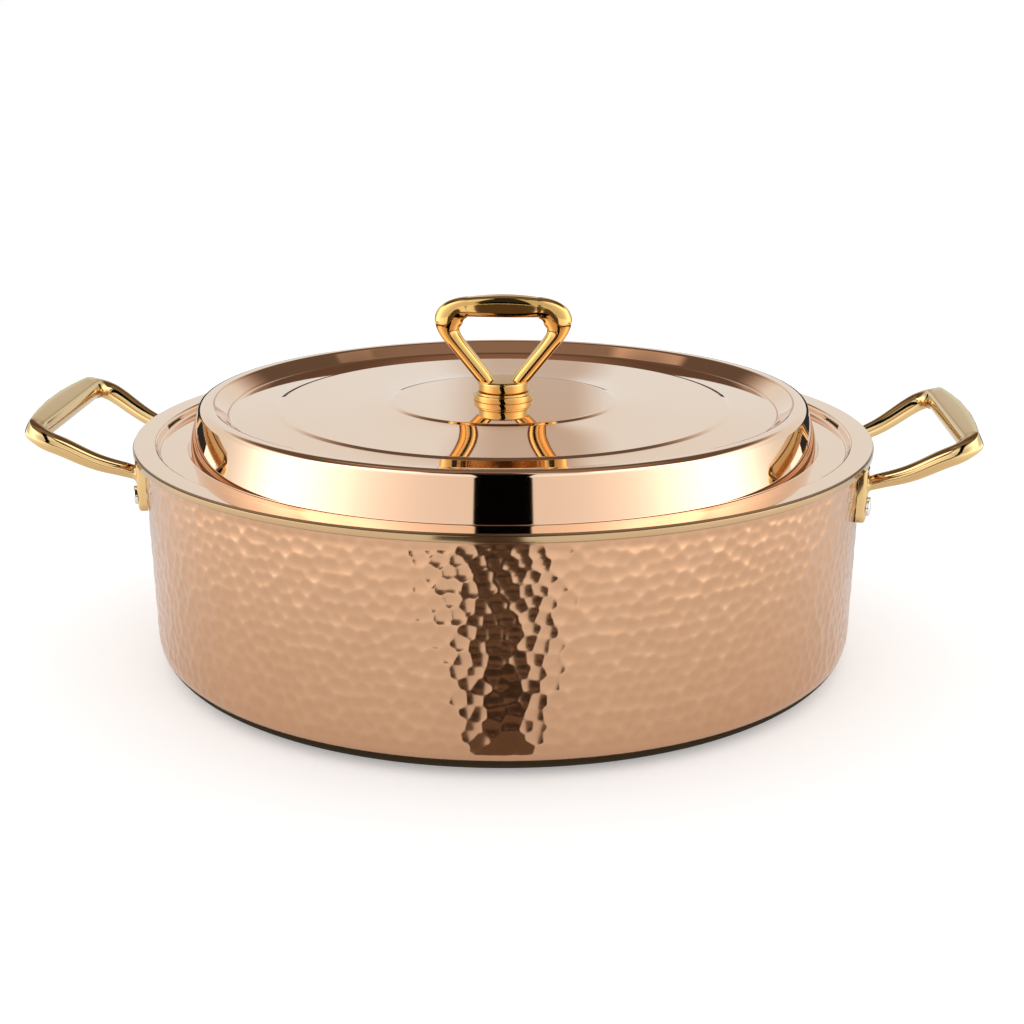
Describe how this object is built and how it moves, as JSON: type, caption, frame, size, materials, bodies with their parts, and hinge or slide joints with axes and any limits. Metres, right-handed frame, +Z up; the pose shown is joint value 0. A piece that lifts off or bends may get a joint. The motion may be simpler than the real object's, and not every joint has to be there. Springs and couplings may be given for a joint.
{
  "type": "chafing dish",
  "caption": "Round hammered copper-coloured pan with riveted gold loop handles and a stepped lift-off lid with a loop knob, for keeping and serving warm food.",
  "frame": {"origin": "centre of the pan's base, on the table", "axes": "+Z up, +X through the two side handles, -Y toward the camera side of the picture"},
  "size_m": [0.4034, 0.3196, 0.1575],
  "materials": {
    "copper": "hammered and polished copper colour",
    "lid": "mirror-polished rose gold outside, satin inside",
    "gold": "polished cast gold colour",
    "lining": "satin, spun",
    "core": "plain",
    "rivet": "polished",
    "hardware": "satin"
  },
  "bodies": {
    "pan": {"pan_shell": "copper", "pan_core": "core", "pan_liner": "lining", "handle_left": "gold", "handle_right": "gold", "rivet_left_front": "rivet", "rivet_left_back": "rivet", "rivet_right_front": "rivet", "rivet_right_back": "rivet"},
    "lid": {"lid_shell": "lid", "knob_collar": "gold", "knob_loop": "gold", "knob_screw": "hardware", "knob_spring_washer": "hardware", "knob_washer": "hardware"}
  },
  "joints": [
    {"name": "lid_lift", "type": "slide", "parent": "pan", "child": "lid", "axis": [0, 0, 1], "range_m": [0, 0.15]}
  ]
}
